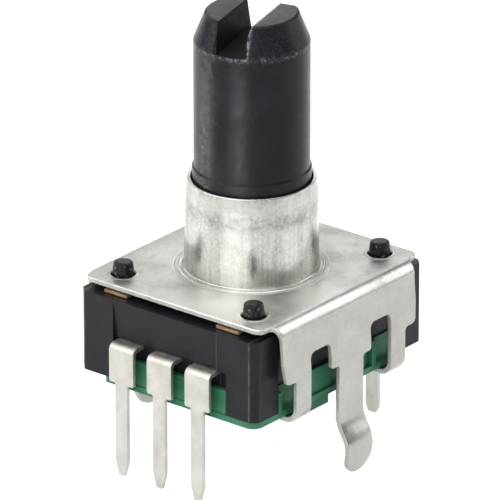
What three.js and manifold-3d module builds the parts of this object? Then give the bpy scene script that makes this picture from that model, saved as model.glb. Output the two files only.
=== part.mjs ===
// Rotary encoder with a push switch, for a circuit board.
// Millimetres, +Z along the shaft. The origin is on the shaft's axis, in the plane of the
// board that the base stands on. The three signal pins stand on the -Y side, the two switch
// pins on the +Y side, and the bracket's hook legs on the -X and +X sides.

import * as THREE from 'three';
import { mergeVertices } from 'three/addons/utils/BufferGeometryUtils.js';
import Module from 'manifold-3d';

const wasm = await Module();
wasm.setup();

// ---------------------------------------------------------------- driving dimensions

const GAP = 0.03;                 // between pieces that touch
const SHEET = 0.3;                // bracket steel
const ROUND = 48;                 // sides of a large circle
const SMALL_ROUND = 20;           // sides of a small circle
const ARC = 3;                    // half the steps of a rounded corner

const CASE = { length: 11.6, width: 14.0, bottom: 0.97, top: 5.38, chamfer: 0.38 };
const WAFER = { bottom: 3.28, top: 3.7, hole: 1.85 };
const CHAMBER = { length: 9.8, width: 11.6 };
const WINDOW = { left: -3.25, right: 3.95, lowerTop: 2.32, recess: 0.35 };
const SIDE_RECESS = { floorX: 5.4, halfWidth: 5.05, top: 3.9 };
const ROTOR_WELL = 5.35;
const PEG = { x: 4.3, y: 5.19, radius: 0.55, topRadius: 0.47, height: 0.74 };

const PLATE = { top: 5.98, halfLength: 5.85, halfWidth: 6.56, corner: 0.55 };
const SKIRT = {
  halfWidth: 5.43, endHalfWidth: 5.28, bottom: 2.7, outer: 6.59, bendEnd: 6.38, bend: 0.75,
};
const FLARE_END = 3.0;
const LEG = { half: 0.98, shoulder: 1.6, shoulderZ: 2.4, kinkZ: -0.85, hipX: 7.25, hipZ: -2.1 };
const LEG_TIP = { x: 6.95, z: -3.75 };
const SLOT = { inner: 1.63, outer: 3.3, top: 3.87, corner: 0.4 };
const TAB = { inner: 3.3, outer: 4.48, underZ: 0.27, bend: 0.8, reach: 5.2 };
const COLLAR = { outer: 3.5, bore: 3.13, shoulderZ: 10.1, top: 10.94, rim: 3.32, fillet: 0.42 };
const PEG_HOLE = 0.63;

const BASE = { length: 11.6, width: 13.86, bottom: 0.6, lip: 0.93, top: 2.3, corner: 0.6 };
const PIN_NOTCH = 6.4;            // where the base's rear edge is notched for the switch pins
const POCKET = { radius: 3.5, floor: 1.0 };
const FOOT = { x: 5.05, y: -1.65, length: 1.1, width: 1.9 };
const SEAT_RADIUS = 2.6;
const OPEN_CORNER = { x: 4.05, wallY: 5.8, wallX: 4.85, y: 5.03 };   // lip left off at two corners
const PANEL = { inner: 5.45, outer: 5.52, halfWidth: 4.98 };
const RIBS = [
  { y: -4.85, width: 0.3, outer: 5.8, lower: 0.3 }, { y: -2.85, width: 0.35, outer: 5.8, lower: 0 },
  { y: -1.4, width: 1.7, outer: 5.66, lower: 0 }, { y: 1.4, width: 1.7, outer: 5.66, lower: 0.5 },
  { y: 2.85, width: 0.35, outer: 5.8, lower: 0 }, { y: 4.85, width: 0.3, outer: 5.8, lower: 0.3 },
];

const PITCH = 2.5;
const SIGNAL_PIN = { y: 7.6, sheet: 0.25, wide: 1.6, narrow: 0.8, tip: 0.35, top: 3.22, bend: 0.42 };
const SIGNAL_Z = { shoulder: 1.1, taper: -3.2, tip: -4.03 };
const SWITCH_PIN = { y: 7.1, sheet: 0.2, width: 0.8, tip: 0.46, bottom: 1.03, bend: 0.45 };
const SWITCH_TIP = { taper: -3.7, z: -4.05 };
const CONTACT_BUMP = { radius: 0.45, height: 0.1 };
const RIM_CONTACT = { inner: 2.15, outer: 2.9, start: 115, end: 290 };

const ROTOR = { radius: 5.2, bottom: 3.95, top: 5.2, well: 4.2, bore: 1.6 };
const DETENTS = 24;
const DETENT_RING = { inner: 3.95, outer: 4.75, crest: 0.14 };
const KEY = { radius: 3.6, flat: 3.12, bottom: 4.75, top: 5.62, play: 0.1 };
const CODE = { bottom: 3.82, top: 3.92, inner: 1.9, outer: 4.9, slotInner: 3.2, slotOuter: 4.6 };

const SHAFT = { radius: 3.0, journal: 3.08, journalTop: 11.62, stem: 1.5, stemEnd: 2.55 };
const SHAFT_TOP = { chamferZ: 18.48, z: 20.0, radius: 2.38 };
const FLAT = { fromAxis: 1.5, start: 13.0 };
const DRIVE_SLOT = { top: 1.85, floor: 1.4, floorZ: 18.5 };
const SHAFT_TURN = THREE.MathUtils.degToRad(15);

const CLICK = { bottom: 5.43, sheet: 0.15, inner: 3.75, outer: 5.25, armOuter: 4.75, gap: 5.0 };
const CLICK_EAR = { inner: 2.95, outer: 4.42, root: 3.2, reach: 6.56 };
const CLICK_BUMP = { y: 4.35, radius: 0.42, z: 5.66 };

const PUSH = { radius: 2.9, bottom: 2.0, top: 2.5, lug: 3.35, lugWidth: 1.2 };
const NUB = { radius: 0.7, bottom: 1.89 };
const DOME = { radius: 2.75, bottom: 1.36, rise: 0.5, sheet: 0.07 };
const BRUSH = { width: 0.7, sheet: 0.08, contactZ: 3.79, foot: 0.9, slotWidth: 1.0 };

const MATERIALS = {
  steel: material(0xbdbdb6, 0.34, 0.9),
  blackPlastic: material(0x303032, 0.6, 0),
  shaftPlastic: material(0x33343b, 0.42, 0),
  greenPlastic: material(0x357a58, 0.5, 0),
  rotorPlastic: material(0xd9d6cc, 0.5, 0),
  bronze: material(0xc29260, 0.35, 0.9),
  brass: material(0xcfb26a, 0.35, 0.9),
  tinned: material(0xcfcbc2, 0.35, 0.85),
  dome: material(0xc9c9c9, 0.25, 0.95),
};

function material(color, roughness, metalness) {
  return new THREE.MeshStandardMaterial({ color, roughness, metalness });
}

// ---------------------------------------------------------------- solids

function solid(geometry) {
  const plain = geometry.index ? geometry.toNonIndexed() : geometry.clone();
  plain.deleteAttribute('normal');
  plain.deleteAttribute('uv');
  const merged = mergeVertices(plain, 1e-5);
  const corners = merged.index.array;
  const kept = [];
  for (let i = 0; i < corners.length; i += 3) {
    const [a, b, c] = [corners[i], corners[i + 1], corners[i + 2]];
    if (a !== b && b !== c && c !== a) kept.push(a, b, c);
  }
  const vertProperties = new Float32Array(merged.attributes.position.array);
  return new wasm.Manifold(new wasm.Mesh({
    numProp: 3,
    vertProperties,
    triVerts: new Uint32Array(kept),
  }));
}

function join(...solids) {
  return solids.reduce((whole, next) => whole.add(next));
}

function cut(body, ...tools) {
  return tools.reduce((rest, tool) => rest.subtract(tool), body);
}

function piece(name, body, finish) {
  const result = body.getMesh();
  const geometry = new THREE.BufferGeometry();
  geometry.setAttribute('position', new THREE.BufferAttribute(result.vertProperties, 3));
  geometry.setIndex(new THREE.BufferAttribute(result.triVerts, 1));
  geometry.computeVertexNormals();
  const mesh = new THREE.Mesh(geometry, finish);
  mesh.name = name;
  return mesh;
}

function extrude(shape, depth) {
  return new THREE.ExtrudeGeometry(shape, { depth, bevelEnabled: false, curveSegments: ARC });
}

// Plan outline (x, y), from z0 up to z1.
function extrudeZ(shape, z0, z1) {
  return solid(extrude(shape, z1 - z0).translate(0, 0, z0));
}

// Outline (x, z), from y0 to y1.
function extrudeY(shape, y0, y1) {
  return solid(extrude(shape, y1 - y0).rotateX(Math.PI / 2).translate(0, y1, 0));
}

// Outline (y, z), from x0 to x1.
function extrudeX(shape, x0, x1) {
  const turn = new THREE.Matrix4().makeBasis(
    new THREE.Vector3(0, 1, 0), new THREE.Vector3(0, 0, 1), new THREE.Vector3(1, 0, 0));
  return solid(extrude(shape, x1 - x0).applyMatrix4(turn).translate(x0, 0, 0));
}

function box(x0, x1, y0, y1, z0, z1) {
  const geometry = new THREE.BoxGeometry(x1 - x0, y1 - y0, z1 - z0);
  return solid(geometry.translate((x0 + x1) / 2, (y0 + y1) / 2, (z0 + z1) / 2));
}

function disc(radius, z0, z1, x = 0, y = 0, topRadius = radius, sides = ROUND) {
  const geometry = new THREE.CylinderGeometry(topRadius, radius, z1 - z0, sides);
  return solid(geometry.rotateX(Math.PI / 2).translate(x, y, (z0 + z1) / 2));
}

function ring(inner, outer, z0, z1) {
  return cut(disc(outer, z0, z1), disc(inner, z0 - 1, z1 + 1));
}

function eachCorner(make) {
  return [[1, 1], [-1, 1], [-1, -1], [1, -1]].map(([sx, sy]) => make(sx, sy));
}

function bothWays(make) {
  return [-1, 1].map(make);
}

function inOrder(a, b) {
  return [Math.min(a, b), Math.max(a, b)];
}

// Profile points (radius, z), turned about the shaft's axis.
function turned(points) {
  const profile = points.map(([r, z]) => new THREE.Vector2(r, z));
  return solid(new THREE.LatheGeometry(profile, ROUND).rotateX(Math.PI / 2));
}

function polygon(points) {
  return new THREE.Shape(points.map(([a, b]) => new THREE.Vector2(a, b)));
}

function roundedRectangle(length, width, radius) {
  const [x, y] = [length / 2, width / 2];
  const shape = new THREE.Shape();
  shape.absarc(x - radius, y - radius, radius, 0, Math.PI / 2);
  shape.absarc(-x + radius, y - radius, radius, Math.PI / 2, Math.PI);
  shape.absarc(-x + radius, -y + radius, radius, Math.PI, 1.5 * Math.PI);
  shape.absarc(x - radius, -y + radius, radius, 1.5 * Math.PI, 2 * Math.PI);
  shape.closePath();
  return shape;
}

function chamferedRectangle(length, width, chamfer) {
  const [x, y] = [length / 2, width / 2];
  return polygon([
    [x, chamfer - y], [x, y - chamfer], [x - chamfer, y], [chamfer - x, y],
    [-x, y - chamfer], [-x, chamfer - y], [chamfer - x, -y], [x - chamfer, -y],
  ]);
}

function arcPoints(cx, cy, radius, from, to, steps = 2 * ARC) {
  return Array.from({ length: steps + 1 }, (_, i) => {
    const angle = THREE.MathUtils.degToRad(from + (to - from) * i / steps);
    return [cx + radius * Math.cos(angle), cy + radius * Math.sin(angle)];
  });
}

// Closed outline of a bent sheet whose outer face follows the path, with the metal to its right.
function sheetProfile(path, thickness) {
  const points = path.map(([a, b]) => new THREE.Vector2(a, b));
  const inner = points.map((point, i) => {
    const before = points[Math.max(i - 1, 0)];
    const after = points[Math.min(i + 1, points.length - 1)];
    const into = point.clone().sub(i ? before : after).multiplyScalar(i ? 1 : -1).normalize();
    const out = (i < points.length - 1) ? after.clone().sub(point).normalize() : into;
    const normal = new THREE.Vector2(into.y + out.y, -(into.x + out.x)).normalize();
    const stretch = thickness / normal.dot(new THREE.Vector2(into.y, -into.x));
    return point.clone().addScaledVector(normal, stretch);
  });
  return new THREE.Shape([...points, ...inner.reverse()]);
}

// ---------------------------------------------------------------- pressed steel bracket

function skirtPath(rest) {
  const bendX = SKIRT.bendEnd - SKIRT.bend;
  return [
    [bendX - 0.6, PLATE.top],
    ...arcPoints(bendX, PLATE.top - SKIRT.bend, SKIRT.bend, 90, 4),
    [SKIRT.outer, FLARE_END],
    ...rest,
  ];
}

// The skirt seen from the side (y, z): shoulders, slots and the hook leg's rounded tip.
function skirtOutline() {
  const shape = new THREE.Shape();
  const top = PLATE.top + 1;
  const slotArc = SLOT.top - SLOT.corner;
  const right = [
    [SKIRT.halfWidth, top],
    [SKIRT.halfWidth, SLOT.top],
    [SKIRT.endHalfWidth, SKIRT.bottom],
    [SLOT.outer, SKIRT.bottom],
    ...arcPoints(SLOT.outer - SLOT.corner, slotArc, SLOT.corner, 0, 90),
    ...arcPoints(SLOT.inner + SLOT.corner, slotArc, SLOT.corner, 90, 180),
    [LEG.shoulder, LEG.shoulderZ],
    [LEG.half, LEG.shoulderZ],
    ...arcPoints(0, LEG_TIP.z + LEG.half, LEG.half, 0, -90),
  ];
  const left = right.slice(0, -1).reverse().map(([y, z]) => [-y, z]);
  [...right, ...left].forEach(([y, z], i) => (i ? shape.lineTo(y, z) : shape.moveTo(y, z)));
  shape.closePath();
  return shape;
}

function skirt() {
  const legPath = skirtPath([
    [SKIRT.outer, LEG.kinkZ], [LEG.hipX, LEG.hipZ], [LEG_TIP.x, LEG_TIP.z - 0.1],
  ]);
  const flank = extrudeY(sheetProfile(legPath, SHEET), -SKIRT.halfWidth, SKIRT.halfWidth)
    .intersect(extrudeX(skirtOutline(), 4, 8));
  const tabPath = skirtPath([
    ...arcPoints(SKIRT.outer - TAB.bend, TAB.underZ + TAB.bend, TAB.bend, 0, -90),
    [TAB.reach, TAB.underZ],
  ]);
  const tab = sheetProfile(tabPath, SHEET);
  return join(flank, extrudeY(tab, TAB.inner, TAB.outer), extrudeY(tab, -TAB.outer, -TAB.inner));
}

function turnHalf(body) {
  const result = body.getMesh();
  const geometry = new THREE.BufferGeometry();
  geometry.setAttribute('position', new THREE.BufferAttribute(result.vertProperties, 3));
  geometry.setIndex(new THREE.BufferAttribute(result.triVerts, 1));
  return solid(geometry.rotateZ(Math.PI));
}

function collar() {
  const foot = COLLAR.outer + COLLAR.fillet;
  return turned([
    [COLLAR.bore, PLATE.top - SHEET],
    [foot, PLATE.top - SHEET],
    ...arcPoints(foot, PLATE.top + COLLAR.fillet, COLLAR.fillet, -90, -180),
    [COLLAR.outer, COLLAR.shoulderZ],
    [COLLAR.rim, COLLAR.top],
    [COLLAR.bore, COLLAR.top],
    [COLLAR.bore, PLATE.top - SHEET],
  ]);
}

function bracket() {
  const { top, halfLength, halfWidth, corner } = PLATE;
  const side = skirt();
  const plate = cut(
    extrudeZ(roundedRectangle(2 * halfLength, 2 * halfWidth, corner), top - SHEET, top),
    box(SKIRT.bendEnd - SKIRT.bend, 8, -SKIRT.halfWidth, SKIRT.halfWidth, 5, 7),
    box(-8, SKIRT.bend - SKIRT.bendEnd, -SKIRT.halfWidth, SKIRT.halfWidth, 5, 7),
    disc(COLLAR.bore + 0.2, 5, 7),
  );
  const pegHoles = eachCorner((sx, sy) =>
    disc(PEG_HOLE, 5, 7, sx * PEG.x, sy * PEG.y, PEG_HOLE, SMALL_ROUND));
  const body = join(plate, side, turnHalf(side), collar());
  return piece('bracket', cut(body, ...pegHoles), MATERIALS.steel);
}

// ---------------------------------------------------------------- moulded housing

const SIGNALS = [
  { letter: 'a', x: -PITCH, contactY: -3.0 },
  { letter: 'c', x: 0, contactY: -2.5 },
  { letter: 'b', x: PITCH, contactY: -3.0 },
];
const BRUSH_LENGTH = 2.1;
const PIN_SLOT = { width: 1.68, bottom: 2.93 };

function housing() {
  const { length, width, bottom, top, chamfer } = CASE;
  const block = extrudeZ(chamferedRectangle(length, width, chamfer), bottom, top);
  const brushSlots = SIGNALS.map(({ x, contactY }) => box(
    x - BRUSH.slotWidth / 2, x + BRUSH.slotWidth / 2,
    contactY - BRUSH_LENGTH - 0.1, contactY + 0.4, WAFER.bottom - 1, WAFER.top + 1));
  const pinSlots = SIGNALS.map(({ x }) => box(
    x - PIN_SLOT.width / 2, x + PIN_SLOT.width / 2, -width, -CHAMBER.width / 2 + 0.1,
    PIN_SLOT.bottom, WAFER.bottom));
  const pegs = eachCorner((sx, sy) => disc(
    PEG.radius, top - 0.2, PLATE.top + PEG.height, sx * PEG.x, sy * PEG.y,
    PEG.topRadius, SMALL_ROUND));
  const hollow = cut(
    block,
    disc(ROTOR_WELL, WAFER.top, top + 1),
    disc(WAFER.hole, bottom, top),
    box(-CHAMBER.length / 2, CHAMBER.length / 2, -CHAMBER.width / 2, CHAMBER.width / 2,
      bottom - 1, WAFER.bottom),
    box(WINDOW.left, WINDOW.right, -width, width, bottom - 1, WINDOW.lowerTop),
    ...bothWays((side) => box(WINDOW.left, WINDOW.right,
      ...inOrder(side * (width / 2 - WINDOW.recess), side * width), bottom, WAFER.bottom)),
    ...bothWays((side) => box(...inOrder(side * SIDE_RECESS.floorX, side * length),
      -SIDE_RECESS.halfWidth, SIDE_RECESS.halfWidth, bottom - 1, SIDE_RECESS.top)),
    ...brushSlots,
    ...pinSlots,
  );
  return piece('housing', join(hollow, ...pegs), MATERIALS.blackPlastic);
}

function switchBase() {
  const { length, width, bottom, lip, top, corner } = BASE;
  const inset = 0.12;
  const [halfX, halfY] = [CHAMBER.length / 2 - inset, CHAMBER.width / 2 - inset];
  const sides = bothWays((side) => join(
    box(...inOrder(side * PANEL.inner, side * PANEL.outer), -PANEL.halfWidth, PANEL.halfWidth,
      bottom, top - 0.05),
    ...RIBS.map(({ y, width: ribWidth, outer, lower }) => box(
      ...inOrder(side * PANEL.inner, side * outer),
      side * y - ribWidth / 2, side * y + ribWidth / 2, bottom, top - lower)),
  ));
  const feet = bothWays((side) => box(
    side * FOOT.x - FOOT.length / 2, side * FOOT.x + FOOT.length / 2,
    side * FOOT.y - FOOT.width / 2, side * FOOT.y + FOOT.width / 2, 0, bottom + 0.1));
  const openCorners = bothWays((side) => join(
    box(...inOrder(side * OPEN_CORNER.x, side * length),
      ...inOrder(side * OPEN_CORNER.wallY, side * width), 0, lip + 0.02),
    box(...inOrder(side * OPEN_CORNER.wallX, side * length),
      ...inOrder(side * OPEN_CORNER.y, side * width), 0, lip + 0.02),
  ));
  const body = join(
    extrudeZ(roundedRectangle(length, width, corner), bottom, lip),
    box(-halfX, halfX, -halfY, halfY, bottom, top),
    box(WINDOW.left + inset, WINDOW.right - inset, -width / 2 + 0.06, width / 2 - 0.06,
      bottom, top - 0.04),
    disc(SEAT_RADIUS, 0, bottom + 0.1),
    ...sides,
    ...feet,
  );
  const stripTop = SWITCH_PIN.bottom + SWITCH_PIN.sheet + GAP;
  const stripRoom = bothWays((side) => {
    const half = SWITCH_PIN.width / 2 + GAP;
    const xs = [side * PITCH - half, side * PITCH + half];
    return join(
      box(...xs, 0, width, POCKET.floor, stripTop), box(...xs, PIN_NOTCH, width, 0, stripTop));
  });
  return piece('switch_base', cut(
    body,
    disc(POCKET.radius, POCKET.floor, top + 1),
    ...stripRoom,
    ...openCorners,
  ), MATERIALS.greenPlastic);
}

// ---------------------------------------------------------------- pins, brushes and contacts

// Front view (x, z) of a signal pin: wide above its shoulders, narrow below, pointed tip.
function signalPinOutline(x) {
  const { wide, narrow, tip, top } = SIGNAL_PIN;
  const halves = [
    [wide / 2, top + 1], [wide / 2, SIGNAL_Z.shoulder], [narrow / 2, SIGNAL_Z.shoulder],
    [narrow / 2, SIGNAL_Z.taper], [tip / 2, SIGNAL_Z.tip],
  ];
  const left = [...halves].reverse().map(([half, z]) => [x - half, z]);
  return polygon([...halves.map(([half, z]) => [x + half, z]), ...left]);
}

function signalPin({ letter, x, contactY }) {
  const { y, sheet, bend, top } = SIGNAL_PIN;
  const path = [
    [-y, SIGNAL_Z.tip - 0.1],
    ...arcPoints(-y + bend, top - bend, bend, 180, 90),
    [contactY - BRUSH_LENGTH + BRUSH.foot, top],
  ];
  const strip = extrudeX(sheetProfile(path, sheet), x - 2, x + 2)
    .intersect(extrudeY(signalPinOutline(x), -y - 1, 0));
  return piece(`pin_${letter}`, strip, MATERIALS.tinned);
}

function brush({ letter, x, contactY }) {
  const footZ = SIGNAL_PIN.top + GAP + BRUSH.sheet;
  const start = contactY - BRUSH_LENGTH;
  const path = [
    [start, footZ],
    [start + BRUSH.foot, footZ],
    [contactY - 0.15, BRUSH.contactZ],
    [contactY + 0.1, BRUSH.contactZ],
    [contactY + 0.3, BRUSH.contactZ - 0.15],
  ];
  const profile = sheetProfile(path, BRUSH.sheet);
  const body = extrudeX(profile, x - BRUSH.width / 2, x + BRUSH.width / 2);
  return piece(`brush_${letter}`, body, MATERIALS.brass);
}

function switchPinTail(x) {
  const { y, sheet, bottom, bend, width, tip } = SWITCH_PIN;
  const path = [
    [POCKET.radius - 0.5, bottom + sheet],
    ...arcPoints(y - bend, bottom + sheet - bend, bend, 90, 0),
    [y, SWITCH_TIP.z],
  ];
  const front = polygon([
    [x - width / 2, bottom + 1], [x - width / 2, SWITCH_TIP.taper], [x - tip / 2, SWITCH_TIP.z],
    [x + tip / 2, SWITCH_TIP.z], [x + width / 2, SWITCH_TIP.taper], [x + width / 2, bottom + 1],
  ]);
  return extrudeX(sheetProfile(path, sheet), x - 1, x + 1).intersect(extrudeY(front, 0, y + 1));
}

function contactBump(x, y) {
  const top = SWITCH_PIN.bottom + SWITCH_PIN.sheet;
  return disc(CONTACT_BUMP.radius, top - 0.1, top + CONTACT_BUMP.height, x, y,
    CONTACT_BUMP.radius * 0.6, SMALL_ROUND);
}

// The centre contact under the dome, led out to the +X switch pin.
function centreContact() {
  const { bottom, sheet, width } = SWITCH_PIN;
  const top = bottom + sheet;
  const bendY = POCKET.radius - 0.7;
  const lead = polygon([
    [-0.3, 0.3], [0.3, -0.3], [PITCH + width / 2, bendY - 0.4], [PITCH + width / 2, bendY + 0.8],
    [PITCH - width / 2, bendY + 0.8], [PITCH - width / 2, bendY],
  ]);
  return piece('switch_pin_d', join(
    switchPinTail(PITCH), extrudeZ(lead, bottom, top), disc(0.62, bottom, top),
    contactBump(0, 0),
  ), MATERIALS.tinned);
}

// The rim contact that the dome's edge stands on, led out to the -X switch pin.
function rimContact() {
  const { bottom, sheet, width } = SWITCH_PIN;
  const top = bottom + sheet;
  const { inner, outer, start, end } = RIM_CONTACT;
  const arc = polygon([
    ...arcPoints(0, 0, outer, start, end, ROUND / 2),
    ...arcPoints(0, 0, inner, end, start, ROUND / 2),
  ]);
  const lead = box(-PITCH - width / 2, -PITCH + width / 2, 0.8, POCKET.radius + 0.2, bottom, top);
  const middle = (inner + outer) / 2;
  const bumps = [135, 200, 270].map((angle) => {
    const turn = THREE.MathUtils.degToRad(angle);
    return disc(0.3, top - 0.1, top + CONTACT_BUMP.height, middle * Math.cos(turn),
      middle * Math.sin(turn), 0.2, SMALL_ROUND);
  });
  return piece('switch_pin_e', join(
    switchPinTail(-PITCH), extrudeZ(arc, bottom, top), lead, ...bumps,
  ), MATERIALS.tinned);
}

function dome() {
  const { radius, bottom, rise, sheet } = DOME;
  const steps = 8;
  const outer = Array.from({ length: steps + 1 }, (_, i) => {
    const share = i / steps;
    return [radius * (1 - share), bottom + sheet + (rise - sheet) * (1 - (1 - share) ** 2)];
  });
  const inner = outer.map(([r, z]) => [r, z - sheet]).reverse();
  return piece('switch_dome', turned([...inner, ...outer, inner[0]]), MATERIALS.dome);
}

function pushPlate() {
  const { radius, bottom, top, lug, lugWidth } = PUSH;
  return piece('push_plate', join(
    disc(radius, bottom, top),
    box(-lug, lug, -lugWidth / 2, lugWidth / 2, bottom, top),
    disc(NUB.radius * 0.7, NUB.bottom, bottom + 0.1, 0, 0, NUB.radius, SMALL_ROUND),
  ), MATERIALS.rotorPlastic);
}

// ---------------------------------------------------------------- turning pieces

// Low crests between the valleys that the click spring's bumps drop into.
function detentRing() {
  const { inner, outer, crest } = DETENT_RING;
  const step = 2 * Math.PI / DETENTS;
  const crests = Array.from({ length: DETENTS }, (_, i) => {
    const width = 0.3 * step * (inner + outer) / 2;
    const profile = polygon([
      [-width, ROTOR.top - 0.05], [width, ROTOR.top - 0.05],
      [width * 0.4, ROTOR.top + crest], [-width * 0.4, ROTOR.top + crest],
    ]);
    const ridge = extrude(profile, outer - inner);
    ridge.rotateX(Math.PI / 2).translate(0, outer, 0).rotateZ((i + 0.5) * step);
    return solid(ridge);
  });
  return join(...crests);
}

function rotor() {
  const body = join(disc(ROTOR.radius, ROTOR.bottom, ROTOR.top), detentRing());
  const play = KEY.play;
  return piece('rotor', cut(
    body,
    turnedKey(KEY.radius + play, KEY.flat + play, ROTOR.well, ROTOR.top + 1),
    disc(ROTOR.bore, ROTOR.bottom - 1, ROTOR.top),
  ), MATERIALS.rotorPlastic);
}

function turnedKey(radius, flat, z0, z1) {
  const geometry = new THREE.BoxGeometry(2 * flat, 2 * radius, z1 - z0);
  geometry.translate(0, 0, (z0 + z1) / 2).rotateZ(SHAFT_TURN);
  return disc(radius, z0, z1).intersect(solid(geometry));
}

function codePlate() {
  const { bottom, top, inner, outer, slotInner, slotOuter } = CODE;
  const step = 2 * Math.PI / DETENTS;
  const open = step / 4;
  const slots = Array.from({ length: DETENTS }, (_, i) => {
    const shape = polygon([
      [slotInner, -open * slotInner], [slotOuter, -open * slotOuter],
      [slotOuter, open * slotOuter], [slotInner, open * slotInner],
    ]);
    return solid(extrude(shape, 1).translate(0, 0, bottom - 0.5).rotateZ(i * step));
  });
  return piece('code_plate', cut(ring(inner, outer, bottom, top), ...slots), MATERIALS.brass);
}

function shaft() {
  const { radius, journal, journalTop, stem, stemEnd } = SHAFT;
  const core = turned([
    [0, stemEnd], [stem - 0.2, stemEnd], [stem, stemEnd + 0.2], [stem, KEY.bottom + 0.1],
    [journal, KEY.bottom + 0.1], [journal, journalTop - 0.08], [radius, journalTop],
    [radius, SHAFT_TOP.chamferZ], [SHAFT_TOP.radius + 0.08, SHAFT_TOP.z - 0.12],
    [SHAFT_TOP.radius - 0.1, SHAFT_TOP.z], [0, SHAFT_TOP.z],
  ]);
  const flat = new THREE.BoxGeometry(10, 4, 10);
  flat.translate(0, FLAT.fromAxis + 2, FLAT.start + 5).rotateZ(SHAFT_TURN);
  const { top, floor, floorZ } = DRIVE_SLOT;
  const slot = extrude(polygon([
    [-floor / 2, floorZ], [floor / 2, floorZ], [top / 2, SHAFT_TOP.z],
    [top / 2, SHAFT_TOP.z + 1], [-top / 2, SHAFT_TOP.z + 1], [-top / 2, SHAFT_TOP.z],
  ]), 10);
  slot.rotateX(Math.PI / 2).translate(0, 5, 0).rotateZ(SHAFT_TURN);
  const key = turnedKey(KEY.radius, KEY.flat, KEY.bottom, KEY.top);
  return piece('shaft', cut(join(core, key), solid(flat), solid(slot)), MATERIALS.shaftPlastic);
}

function clickSpring() {
  const { bottom, sheet, inner, outer, armOuter, gap } = CLICK;
  const top = bottom + sheet;
  const ears = eachCorner((sx, sy) => {
    const xs = inOrder(sx * CLICK_EAR.inner, sx * CLICK_EAR.outer);
    return box(...xs, ...inOrder(sy * CLICK_EAR.root, sy * CLICK_EAR.reach), bottom, top);
  });
  const pegHoles = eachCorner((sx, sy) =>
    disc(PEG_HOLE, 5, 7, sx * PEG.x, sy * PEG.y, PEG_HOLE, SMALL_ROUND));
  const armGaps = [25, 205].map((from) => extrudeZ(polygon([
    ...arcPoints(0, 0, gap, from, from + 130, ROUND / 3),
    ...arcPoints(0, 0, armOuter, from + 130, from, ROUND / 3),
  ]), bottom - 1, top + 1));
  const bumps = bothWays((side) => {
    const ball = new THREE.SphereGeometry(CLICK_BUMP.radius, 12, 8);
    const lower = box(-1, 1, -6, 6, bottom - 1, top - 0.05);
    return solid(ball.translate(0, side * CLICK_BUMP.y, CLICK_BUMP.z)).intersect(lower);
  });
  const plate = cut(
    join(disc(outer, bottom, top), ...ears),
    disc(inner, bottom - 1, top + 1), ...armGaps, ...pegHoles,
  );
  return piece('click_spring', join(plate, ...bumps), MATERIALS.bronze);
}

// ---------------------------------------------------------------- assembly

const encoder = new THREE.Group();
encoder.add(
  bracket(), housing(), switchBase(), clickSpring(),
  rotor(), codePlate(), shaft(),
  ...SIGNALS.map(signalPin), ...SIGNALS.map(brush),
  centreContact(), rimContact(), dome(), pushPlate(),
);

export default encoder;
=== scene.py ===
"""Looks of the rotary encoder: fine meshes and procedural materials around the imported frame."""
import math

import bmesh
import bpy
from mathutils import Matrix, Vector


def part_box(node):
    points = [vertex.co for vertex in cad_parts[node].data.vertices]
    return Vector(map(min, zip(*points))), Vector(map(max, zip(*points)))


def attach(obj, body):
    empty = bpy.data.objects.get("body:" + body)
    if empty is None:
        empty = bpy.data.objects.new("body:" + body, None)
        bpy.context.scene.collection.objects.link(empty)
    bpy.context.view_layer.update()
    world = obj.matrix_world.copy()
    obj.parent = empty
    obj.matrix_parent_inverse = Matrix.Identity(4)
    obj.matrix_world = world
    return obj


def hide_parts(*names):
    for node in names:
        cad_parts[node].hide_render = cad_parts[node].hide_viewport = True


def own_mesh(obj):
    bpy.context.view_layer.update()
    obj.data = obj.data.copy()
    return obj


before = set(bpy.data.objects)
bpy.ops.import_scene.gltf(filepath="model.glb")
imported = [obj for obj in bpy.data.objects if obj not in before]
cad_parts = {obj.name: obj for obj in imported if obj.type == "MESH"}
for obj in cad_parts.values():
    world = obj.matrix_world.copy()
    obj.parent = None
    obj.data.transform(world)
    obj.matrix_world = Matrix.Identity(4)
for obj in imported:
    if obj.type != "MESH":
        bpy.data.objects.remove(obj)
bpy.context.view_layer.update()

scene = bpy.context.scene
MM = 0.001

# ---------------------------------------------------------------- sizes, in mm
# z runs up the shaft's axis from the circuit board, the signal pins are on the side that faces
# -y, and the hook legs are on the sides that face +x and -x.


def box_mm(node):
    low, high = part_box(node)
    return Vector(low) / MM, Vector(high) / MM


bracket_low, bracket_high = box_mm("bracket")
housing_low, housing_high = box_mm("housing")
base_low, base_high = box_mm("switch_base")
dome_low, dome_high = box_mm("switch_dome")
signal_pin_low = box_mm("pin_c")[0]
SHAFT_TOP = box_mm("shaft")[1].z
FLOOR_Z = box_mm("switch_pin_d")[0].z - 0.01

# Bracket: plate, collar, skirt with its tabs, and hook leg.
SHEET = 0.3
COLLAR_TOP = bracket_high.z
PLATE_TOP = COLLAR_TOP - 4.96
PLATE_HALF_X, PLATE_HALF_Y, PLATE_CORNER = 5.85, bracket_high.y, 0.55
COLLAR_OUTER, COLLAR_SHOULDER, RIM_OUTER, COLLAR_BORE = 3.5, 3.42, 3.32, 3.13
COLLAR_SHOULDER_Z = 10.05
COLLAR_FOOT = 4.5
BEND_X, BEND_RADIUS = 6.36, 0.75
SKIRT_X = 6.59
SKIRT_HALF_Y, SKIRT_END_Y, SKIRT_BOTTOM = 5.43, 5.28, 2.7
TAB_INNER, TAB_OUTER, TAB_REACH, TAB_UNDER = 3.3, 4.48, 5.2, 0.27
SLOT_INNER, SLOT_TOP = 1.63, 3.87
LEG_HALF, LEG_SHOULDER_Z = 0.98, 2.4
KNEE_Z, HIP_X, HIP_Z = -0.85, bracket_high.x + 0.1, -2.1
LEG_TIP_X, LEG_TIP_Z = 6.95, bracket_low.z

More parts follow.
